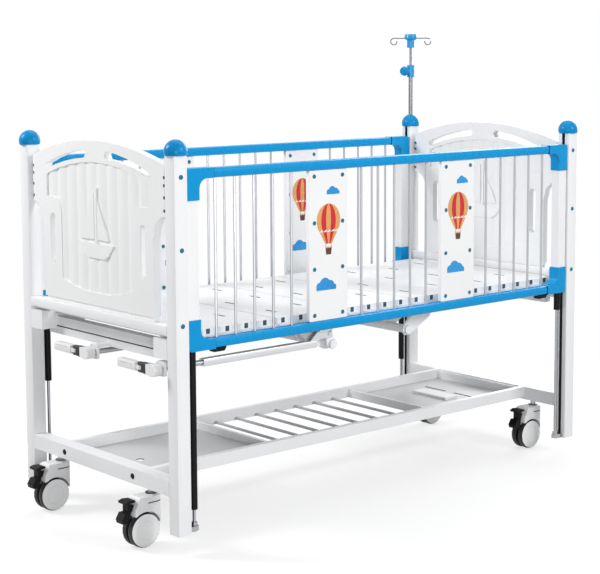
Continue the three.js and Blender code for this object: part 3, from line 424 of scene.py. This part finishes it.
def made_pole(name, rise, reach=None):
    """Infusion pole: plated tube with a blue head above the rise and within the reach."""
    look = Look(name)
    head = look.above(look.axis("Z"), POST_TOP + rise)
    if reach:
        # the pole's axis is that of the post it stands in
        post_low, post_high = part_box("post_head_right")
        middle = (post_low + post_high) / 2
        away = look.distance(look.axis("X", middle.x), look.axis("Y", middle.y))
        head = look.both(head, look.below(away, reach))
    drawn = look.noise(1.0, 0.0, stretch=(300.0, 300.0, 1.5))
    steel = look.mix(look.spread(drawn), POLE_STEEL, POLE_DULL)
    look.colour(look.mix(head, steel, look.tone(BLUE, BLUE_DEEP, scale=20.0)))
    look.metal(look.math("SUBTRACT", 1.0, head))
    look.rough(look.spread(drawn, 0.29, 0.33))
    return look


CRANK_ARM_DEPTH = 0.0265
KNUCKLE_LENGTH = 0.046


def made_crank(name):
    """Crank shafts: a white arm with a black knuckle, on a steel shaft."""
    low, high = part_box(name)
    look = Look(name, specular=0.3)
    steel = look.above(look.axis("X", low.x), CRANK_ARM_DEPTH)
    knuckle = look.above(look.axis("Y", high.y), -KNUCKLE_LENGTH)
    white_arm = look.tone(PANEL, PANEL_DULL, scale=20.0)
    arm = look.mix(knuckle, white_arm, look.tone(BLACK, BLACK_DULL, scale=60.0))
    look.colour(look.mix(steel, arm, STEEL))
    look.metal(steel)
    look.rough(look.spread(look.noise(70.0), 0.3, 0.4))
    look.bump(look.noise(600.0), strength=0.1)
    return look


black = moulding("black_plastic", BLACK, BLACK_DULL, rough=(0.4, 0.55), specular=0.12)
teal = moulding("screw_cap", TEAL, TEAL_PALE, rough=(0.2, 0.3))
SLOT_LOOKS = {
    "white_enamel": coat("white_enamel", WHITE, WHITE_DULL),
    "blue_enamel": coat(
        "blue_enamel", BLUE, BLUE_DEEP, rough=(0.26, 0.29), specular=0.14, marked=joint_shade_lines
    ),
    "blue_plastic": moulding(
        "blue_plastic", CAP_BLUE, CAP_DEEP, rough=(0.24, 0.27), grain=0.02, specular=0.12
    ),
    "white_plastic": moulding("rail_board", PANEL, PANEL_DULL, rough=(0.34, 0.38), grain=0.04),
    "cream_plastic": moulding("cream_plastic", CREAM, CREAM_DULL),
    "black_plastic": black,
    "tyre": black,
    "chrome": plated("chrome", STEEL, STEEL_DULL),
    "zinc": plated("zinc", ZINC, ZINC_DULL, rough=(0.34, 0.42), stretch=(12.0, 300.0, 300.0)),
}
post_coat = coat("post_enamel", WHITE, WHITE_DULL, marked=painted_groove_shade)
deck_coat = coat("deck_enamel", WHITE, WHITE_DULL, marked=painted_bar_shadows)
panel = made_panel()
ladder = made_ladder()
NODE_LOOKS = {
    "mattress_frame": coat("frame_enamel", WHITE, WHITE_DULL, marked=painted_beam_shade),
    "under_shelf": coat("shelf_enamel", WHITE, WHITE_DULL, marked=painted_shelf_shade),
    "pole_lower_tube": made_pole("pole_lower_tube", CLAMP_RISE),
    "pole_upper_rod": made_pole("pole_upper_rod", HUB_RISE, HUB_REACH),
}
for corner in CORNERS:
    NODE_LOOKS["post_" + corner] = post_coat
    NODE_LOOKS["caster_wheel_" + corner] = made_wheel(corner)
    NODE_LOOKS["caster_hood_" + corner] = made_hood(corner)

for row in frame["record"]["subparts"]:
    name = row["node"]
    look = NODE_LOOKS.get(name, SLOT_LOOKS[row["material_slot"]])
    if name.startswith("end_panel"):
        look = panel
    elif name.startswith("rail_ladder"):
        look = ladder
    elif name.endswith("_section"):
        look = deck_coat
    elif name.startswith("crank_shaft"):
        look = made_crank(name)
    nodes[name].data.materials.clear()
    nodes[name].data.materials.append(look.mat)


# Soft shading and small edge rounds on the CAD nodes

MERGE_DISTANCE = 2e-5
EDGE_LIMIT = math.radians(33)
FLUTE_LIMIT = math.radians(16)
DOME_LIMIT = math.radians(29)
FLAT_LIMIT = math.radians(0.4)


def edge_angle(group, operation, limit):
    """True on the edges whose angle is above or below the limit."""
    angle = group.nodes.new("GeometryNodeInputMeshEdgeAngle")
    test = group.nodes.new("FunctionNodeCompare")
    test.operation = operation
    test.inputs[1].default_value = limit
    group.links.new(angle.outputs["Unsigned Angle"], test.inputs[0])
    return test.outputs[0]


def new_group(name):
    group = bpy.data.node_groups.new(name, "GeometryNodeTree")
    for way in ("INPUT", "OUTPUT"):
        group.interface.new_socket("Geometry", in_out=way, socket_type="NodeSocketGeometry")
    return group


def join_up(group, steps):
    """Runs the geometry from the group's input through the nodes to its output."""
    steps = [group.nodes.new("NodeGroupInput"), *steps, group.nodes.new("NodeGroupOutput")]
    for a, b in zip(steps, steps[1:]):
        group.links.new(a.outputs[0], b.inputs[0])
    return group


def soften_group(limit):
    """Joins the loose triangles and shades the edges below the limit smooth."""
    group = new_group("soften")
    merge = group.nodes.new("GeometryNodeMergeByDistance")
    merge.inputs["Distance"].default_value = MERGE_DISTANCE
    drop = group.nodes.new("GeometryNodeRemoveAttribute")
    drop.inputs["Name"].default_value = "custom_normal"
    faces = group.nodes.new("GeometryNodeSetShadeSmooth")
    faces.domain = "FACE"
    faces.inputs["Shade Smooth"].default_value = True
    edges = group.nodes.new("GeometryNodeSetShadeSmooth")
    edges.domain = "EDGE"
    group.links.new(edge_angle(group, "LESS_THAN", limit), edges.inputs["Shade Smooth"])
    return join_up(group, [merge, drop, faces, edges])


def crease_group(limit):
    """Keeps the edges above the limit sharp under a subdivision."""
    group = new_group("crease")
    store = group.nodes.new("GeometryNodeStoreNamedAttribute")
    store.data_type = "FLOAT"
    store.domain = "EDGE"
    store.inputs["Name"].default_value = "crease_edge"
    store.inputs["Value"].default_value = 1.0
    group.links.new(edge_angle(group, "GREATER_THAN", limit), store.inputs["Selection"])
    return join_up(group, [store])


def flatten(node):
    """Makes one face of the triangles of each flat face."""
    flat = node.modifiers.new("flat", "DECIMATE")
    flat.decimate_type = "DISSOLVE"
    flat.angle_limit = FLAT_LIMIT


def round_edges(node, width):
    flatten(node)
    bevel = node.modifiers.new("round", "BEVEL")
    bevel.width = width
    bevel.segments = 2
    bevel.limit_method = "ANGLE"
    bevel.angle_limit = EDGE_LIMIT
    bevel.harden_normals = True


def round_dome(node):
    flatten(node)
    # subdividing a flat ring as one face would close its hole, so only the quads stay whole
    node.modifiers.new("split", "TRIANGULATE").min_vertices = 5
    node.modifiers.new("crease", "NODES").node_group = crease
    dome = node.modifiers.new("dome", "SUBSURF")
    dome.levels = dome.render_levels = 2


soften = soften_group(EDGE_LIMIT)
soften_flutes = soften_group(FLUTE_LIMIT)
crease = crease_group(DOME_LIMIT)
ROUNDS = {
    "end_panel": 0.0022,
    "lower_crossbar": 0.002,
    "under_shelf": 0.0012,
    "mattress_frame": 0.0012,
    "rail_top_bar": 0.0022,
    "rail_bottom_bar": 0.0022,
    "rail_panel": 0.0018,
    "crank_shaft": 0.002,
    "caster_hood": 0.0012,
    "brake_pedal": 0.0010,
}
for name, node in nodes.items():
    fluted = name.startswith("end_panel")
    node.modifiers.new("soften", "NODES").node_group = soften_flutes if fluted else soften
    width = next((w for start, w in ROUNDS.items() if name.startswith(start)), 0.0)
    if width:
        round_edges(node, width)
    if name.startswith("post_cap_"):
        round_dome(node)


# Small visual pieces

SHARP_ANGLE = math.radians(40)
SCREW_SIDES = 14
# A round cap with a shallow dimple: shares of its radius and height.
SCREW_PROFILE = ((1.0, 0.0), (1.0, 0.45), (0.82, 1.0), (0.42, 1.0), (0.34, 0.6), (0.0, 0.6))


def screw(bm, origin, axis, radius, height):
    """A turned screw cap, which stands on the origin along the axis."""
    turn = Vector(axis).to_track_quat("Z", "Y").to_matrix()

    def vert(across, angle, up):
        local = Vector((across * math.cos(angle), across * math.sin(angle), up))
        return bm.verts.new(Vector(origin) + turn @ local)

    rings = []
    for share, rise in SCREW_PROFILE:
        count = SCREW_SIDES if share else 1
        angles = [2 * math.pi * i / SCREW_SIDES for i in range(count)]
        rings.append([vert(radius * share, angle, height * rise) for angle in angles])
    for a, b in zip(rings, rings[1:]):
        for i in range(SCREW_SIDES):
            j = (i + 1) % SCREW_SIDES
            end = (b[0],) if len(b) == 1 else (b[j], b[i])
            bm.faces.new((a[i], a[j], *end)).smooth = True


def plate(bm, points, lift, thick, place, material=0):
    """A thin flat shape: points are (u, w), place turns (u, w, height) into the row frame."""
    low = [bm.verts.new(place(u, w, lift)) for u, w in points]
    high = [bm.verts.new(place(u, w, lift + thick)) for u, w in points]
    faces = [bm.faces.new(high), bm.faces.new(list(reversed(low)))]
    for i in range(len(points)):
        j = (i + 1) % len(points)
        faces.append(bm.faces.new((low[i], low[j], high[j], high[i])))
    for face in faces:
        face.material_index = material


def piece(name, build, looks, body):
    """A new piece of the dressed part, which rides the body."""
    mesh = bpy.data.meshes.new(name)
    bm = bmesh.new()
    build(bm)
    bmesh.ops.recalc_face_normals(bm, faces=bm.faces)
    bm.to_mesh(mesh)
    bm.free()
    mesh.set_sharp_from_angle(angle=SHARP_ANGLE)
    made = bpy.data.objects.new(name, mesh)
    bpy.context.scene.collection.objects.link(made)
    for look in looks:
        mesh.materials.append(look.mat)
    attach(made, body)


POST_SCREW = {"radius": 0.0068, "height": 0.0024}
POST_SCREW_DROPS = (0.057, 0.254, 0.460)
BOLT_CAP = {"radius": 0.0085, "height": 0.0022}
BOLT_REACH = 0.178


def post_screws(bm):
    for corner in CORNERS:
        low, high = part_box("post_" + corner)
        out = -1 if corner.endswith("left") else 1
        x = (low.x + high.x) / 2
        y = low.y if out < 0 else high.y
        for drop in POST_SCREW_DROPS:
            screw(bm, (x, y, high.z - drop), (0, out, 0), **POST_SCREW)


def crossbar_bolts(bm):
    for end, out in ENDS:
        low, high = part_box("lower_crossbar_" + end)
        x = low.x if out < 0 else high.x
        z = (low.z + high.z) / 2
        for y in (-BOLT_REACH, BOLT_REACH):
            screw(bm, (x, MID_Y + y, z), (out, 0, 0), **BOLT_CAP)


piece("post_screws", post_screws, [teal], "frame")
piece("crossbar_bolts", crossbar_bolts, [black], "frame")

# The print on the rail boards. Heights are from the board's foot, and reaches from its middle.
INK_ROUGH = (0.25, 0.33)
INKS = (
    moulding("print_blue", (0.008, 0.24, 0.60), (0.012, 0.29, 0.66), rough=INK_ROUGH),
    moulding("print_tan", (0.72, 0.37, 0.13), (0.64, 0.31, 0.10), rough=INK_ROUGH),
    moulding("print_red", (0.62, 0.010, 0.012), (0.50, 0.006, 0.010), rough=INK_ROUGH),
    moulding("print_brown", (0.10, 0.030, 0.010), (0.07, 0.02, 0.007), rough=INK_ROUGH),
)
BLUE_INK, TAN_INK, RED_INK, BROWN_INK = range(len(INKS))
INK_THICK = 0.00025
INK_GAP = 0.00005
CLOUDS = ((0.018, 0.369, 0.052), (-0.010, 0.089, 0.080))  # reach, height and width
CLOUD_LOBES = (  # reach, height and radius, as shares of the width
    (-0.30, 0.10, 0.20),
    (-0.06, 0.20, 0.26),
    (0.20, 0.14, 0.21),
    (0.38, 0.06, 0.14),
)
CLOUD_START = -0.5
CLOUD_SPAN = 1.02
CLOUD_STEPS = 40
BALLOON_RADIUS = 0.046
BALLOON_HEIGHT = 0.293
BALLOON_STRETCH = 1.08
BALLOON_ANGLES = (-42, 90)  # from the skirt to the top
BALLOON_STEPS = 12
STRIPES = (-1, -0.62, -0.2, 0.2, 0.62, 1)
SKIRT_FOOT = BALLOON_HEIGHT - 0.068
SKIRT_HALF = 0.013
BASKET_TOP = BALLOON_HEIGHT - 0.081
BASKET_DEPTH = 0.019
BASKET_HALF = 0.012
BASKET_FOOT_HALF = 0.0095
BASKET_RIM_HALF = 0.0135
BASKET_RIM_HEIGHT = 0.004
ROPE_REACH = 0.0105
ROPE_HALF = 0.0006


def trapezoid(top_half, top, foot_half, foot, middle=0.0):
    return [
        (middle - top_half, top),
        (middle + top_half, top),
        (middle + foot_half, foot),
        (middle - foot_half, foot),
    ]


def gore(left, right):
    """A stripe of the balloon between two meridians, as shares of the radius."""
    low, high = BALLOON_ANGLES
    steps = range(BALLOON_STEPS + 1)
    angles = [math.radians(low + (high - low) * i / BALLOON_STEPS) for i in steps]
    sides = [(left, angle) for angle in angles] + [(right, angle) for angle in angles[::-1]]
    points = []
    for share, angle in sides:
        rise = BALLOON_RADIUS * math.sin(angle) * BALLOON_STRETCH
        points.append((share * BALLOON_RADIUS * math.cos(angle), BALLOON_HEIGHT + rise))
    # the last point is left out, which leaves the white teeth above the skirt
    return points[:-1]


def cloud(u, w, size):
    """A flat-bottomed cloud of four lobes, as one outline."""
    top = []
    for i in range(CLOUD_STEPS + 1):
        x = CLOUD_START + i * CLOUD_SPAN / CLOUD_STEPS
        near = [lobe for lobe in CLOUD_LOBES if abs(x - lobe[0]) < lobe[2]]
        if near:
            rise = max(b + math.sqrt(r * r - (x - a) ** 2) for a, b, r in near)
            top.append((u + x * size, w + rise * size))
    return [(top[0][0], w), (top[-1][0], w)] + top[::-1]


def board_print(bm, place):
    """A hot-air balloon between two clouds."""

    def ink(points, colour, lift=0.0):
        plate(bm, points, lift, INK_THICK, place, colour)

    for spot in CLOUDS:
        ink(cloud(*spot), BLUE_INK)
    start = math.radians(BALLOON_ANGLES[0])
    skirt_top = BALLOON_HEIGHT + BALLOON_RADIUS * BALLOON_STRETCH * math.sin(start)
    edge = BALLOON_RADIUS * math.cos(start)
    for i, (left, right) in enumerate(zip(STRIPES, STRIPES[1:])):
        colour = RED_INK if i % 2 else TAN_INK
        ink(gore(left, right), colour)
        skirt = [(left * edge, skirt_top), (right * edge, skirt_top)]
        skirt += [(right * SKIRT_HALF, SKIRT_FOOT), (left * SKIRT_HALF, SKIRT_FOOT)]
        ink(skirt, colour)
    for u in (-ROPE_REACH, ROPE_REACH):
        ink(trapezoid(ROPE_HALF, SKIRT_FOOT, ROPE_HALF, BASKET_TOP, u), BROWN_INK)
    foot = BASKET_TOP - BASKET_DEPTH
    ink(trapezoid(BASKET_HALF, BASKET_TOP, BASKET_FOOT_HALF, foot), BROWN_INK)
    rim_top = BASKET_TOP + BASKET_RIM_HEIGHT
    ink(trapezoid(BASKET_RIM_HALF, rim_top, BASKET_RIM_HALF, BASKET_TOP), TAN_INK, INK_THICK)


BOARD_SCREW = {"radius": 0.0064, "height": 0.0022}
BOARD_SCREW_ROWS = 4
BOARD_SCREW_INSET = 0.0175
BOARD_SCREW_REACH = 0.055
BUMPER_INSET = 0.118
BUMPER_OUTLINE = trapezoid(0.026, 0.0, 0.018, -0.011)
BUMPER_WIDTH = 0.020


def rail_details(side):
    """Screw caps and prints on both faces of the two boards, and bumpers under the bottom bar."""
    boards = [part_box("rail_panel_%s_%s" % (end, side)) for end, _ in ENDS]
    foot, head = boards[0][0].z, boards[0][1].z
    pitch = (head - foot - 2 * BOARD_SCREW_INSET) / (BOARD_SCREW_ROWS - 1)

    def faces():
        for low, high in boards:
            middle = (low.x + high.x) / 2
            for out, y in ((-1, low.y), (1, high.y)):
                yield middle, out, y

    def screws(bm):
        for middle, out, y in faces():
            for row in range(BOARD_SCREW_ROWS):
                z = foot + BOARD_SCREW_INSET + row * pitch
                for u in (-BOARD_SCREW_REACH, BOARD_SCREW_REACH):
                    screw(bm, (middle + u, y, z), (0, out, 0), **BOARD_SCREW)

    def prints(bm):
        for middle, out, y in faces():

            def place(u, w, h, m=middle, o=out, f=y):
                return Vector((m - o * u, f + o * (h + INK_GAP), foot + w))

            board_print(bm, place)

    def bumpers(bm):
        low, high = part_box("rail_bottom_bar_" + side)
        y = (low.y + high.y) / 2
        for x in (low.x + BUMPER_INSET, high.x - BUMPER_INSET):

            def place(u, w, h, x=x):
                return Vector((x + u, y + h, low.z + w))

            plate(bm, BUMPER_OUTLINE, -BUMPER_WIDTH / 2, BUMPER_WIDTH, place)

    body = "rail_" + side
    piece("rail_screws_" + side, screws, [teal], body)
    piece("rail_prints_" + side, prints, INKS, body)
    piece("rail_bumpers_" + side, bumpers, [black], body)


for side in SIDES:
    rail_details(side)


# Stage, light and camera

FLOOR_REACH = 60.0
FLOOR_DROP = 0.0004
FLOOR_GREY = (0.34, 0.34, 0.34, 1)
FLOOR_GLOW = 0.68  # with the lamps' light, about white
FLOOR_FADE = (1.1, 2.6)  # where the lit floor turns into plain white, from the middle
AMBIENT_TINT = (0.97, 0.985, 1.0, 1)
AMBIENT = 0.27
PLAIN_WHITE = 1.0
LAMPS = (  # name, place, aim, size and power
    ("key", (1.1, -4.2, 2.6), (0.0, 0.0, 0.5), (1.4, 1.4), 114),
    ("foot", (-2.6, 1.9, 2.8), (-0.8, 0.0, 0.8), (1.0, 1.0), 95),
    ("head", (3.8, 1.2, 2.2), (0.8, 0.0, 0.7), (2.8, 2.8), 90),
    ("fill", (-2.6, -3.4, 0.9), (-0.3, 0.0, 0.4), (1.2, 1.2), 50),
    ("top", (0.5, 0.2, 3.8), (0.0, 0.0, 0.0), (3.0, 2.0), 36),
)
CAMERA_PLACE = (MID_X - 3.2330, MID_Y - 3.6745, 1.3654)
YAW, PITCH, ROLL = 0.7131, math.radians(6.42), -0.0050
SENSOR = 36.0
LENS = 91.72
SHIFT_UP = -0.1
CLIP_END = 200.0


def seen(tree):
    """1 for the rays that show the background: camera, glossy and transmission."""
    path = tree.nodes.new("ShaderNodeLightPath")
    total = path.outputs["Is Camera Ray"]
    for kind in ("Is Glossy Ray", "Is Transmission Ray"):
        node = tree.nodes.new("ShaderNodeMath")
        node.operation = "MAXIMUM"
        tree.links.new(total, node.inputs[0])
        tree.links.new(path.outputs[kind], node.inputs[1])
        total = node.outputs[0]
    return total


def floor_material():
    """A pale floor that keeps the cot's shadow and turns white further out."""
    mat = bpy.data.materials.new("floor")
    mat.use_nodes = True
    tree = mat.node_tree
    tree.nodes.clear()
    make, join = tree.nodes.new, tree.links.new

    def mixed(kind, *inputs):
        shader = make(kind)
        for output, socket in zip(inputs, shader.inputs):
            join(output, socket)
        return shader.outputs[0]

    def glow(strength):
        shader = make("ShaderNodeEmission")
        shader.inputs["Strength"].default_value = strength
        return shader.outputs[0]

    matte = make("ShaderNodeBsdfDiffuse")
    matte.inputs["Color"].default_value = FLOOR_GREY
    length = make("ShaderNodeVectorMath")
    length.operation = "LENGTH"
    join(make("ShaderNodeTexCoord").outputs["Object"], length.inputs[0])
    fade = make("ShaderNodeMapRange")
    fade.interpolation_type = "SMOOTHSTEP"
    fade.inputs["From Min"].default_value, fade.inputs["From Max"].default_value = FLOOR_FADE
    join(length.outputs["Value"], fade.inputs["Value"])
    near = mixed("ShaderNodeAddShader", matte.outputs[0], glow(FLOOR_GLOW))
    shown = mixed("ShaderNodeMixShader", fade.outputs[0], near, glow(PLAIN_WHITE))
    lit = mixed("ShaderNodeMixShader", seen(tree), matte.outputs[0], shown)
    join(lit, make("ShaderNodeOutputMaterial").inputs[0])
    return mat


def lay_floor():
    mesh = bpy.data.meshes.new("floor")
    signs = ((-1, -1), (1, -1), (1, 1), (-1, 1))
    corners = [(x * FLOOR_REACH, y * FLOOR_REACH, 0) for x, y in signs]
    mesh.from_pydata(corners, [], [(0, 1, 2, 3)])
    mesh.materials.append(floor_material())
    floor = bpy.data.objects.new("floor", mesh)
    floor.location.z = -FLOOR_DROP
    bpy.context.scene.collection.objects.link(floor)


def light_world():
    """A faint even light, which shows as plain white."""
    world = bpy.data.worlds.new("studio")
    bpy.context.scene.world = world
    world.use_nodes = True
    tree = world.node_tree
    tree.nodes.clear()
    ambient = tree.nodes.new("ShaderNodeBackground")
    ambient.inputs["Color"].default_value = AMBIENT_TINT
    ambient.inputs["Strength"].default_value = AMBIENT
    backdrop = tree.nodes.new("ShaderNodeBackground")
    backdrop.inputs["Color"].default_value = (1, 1, 1, 1)
    backdrop.inputs["Strength"].default_value = PLAIN_WHITE
    choose = tree.nodes.new("ShaderNodeMixShader")
    tree.links.new(seen(tree), choose.inputs[0])
    tree.links.new(ambient.outputs[0], choose.inputs[1])
    tree.links.new(backdrop.outputs[0], choose.inputs[2])
    tree.links.new(choose.outputs[0], tree.nodes.new("ShaderNodeOutputWorld").inputs[0])


def softbox(name, place, aim, size, power):
    data = bpy.data.lights.new(name, "AREA")
    data.shape = "RECTANGLE"
    data.size, data.size_y = size
    data.energy = power
    lamp = bpy.data.objects.new(name, data)
    lamp.location = place
    lamp.rotation_mode = "QUATERNION"
    lamp.rotation_quaternion = (Vector(aim) - Vector(place)).to_track_quat("-Z", "Y")
    bpy.context.scene.collection.objects.link(lamp)


lay_floor()
light_world()
for lamp in LAMPS:
    softbox(*lamp)

level = math.cos(PITCH)
forward = Vector((math.sin(YAW) * level, math.cos(YAW) * level, -math.sin(PITCH)))
right = Vector((math.cos(YAW), -math.sin(YAW), 0.0))
up = right.cross(forward)
right, up = (
    right * math.cos(ROLL) + up * math.sin(ROLL),
    up * math.cos(ROLL) - right * math.sin(ROLL),
)
camera = bpy.data.objects.new("camera", bpy.data.cameras.new("camera"))
camera.data.sensor_width = SENSOR
camera.data.lens = LENS
camera.data.shift_y = SHIFT_UP
camera.data.clip_end = CLIP_END
turn = Matrix((right, up, -forward)).transposed().to_4x4()
camera.matrix_world = Matrix.Translation(CAMERA_PLACE) @ turn
bpy.context.scene.collection.objects.link(camera)
bpy.context.scene.camera = camera
bpy.context.scene.view_settings.view_transform = "Standard"
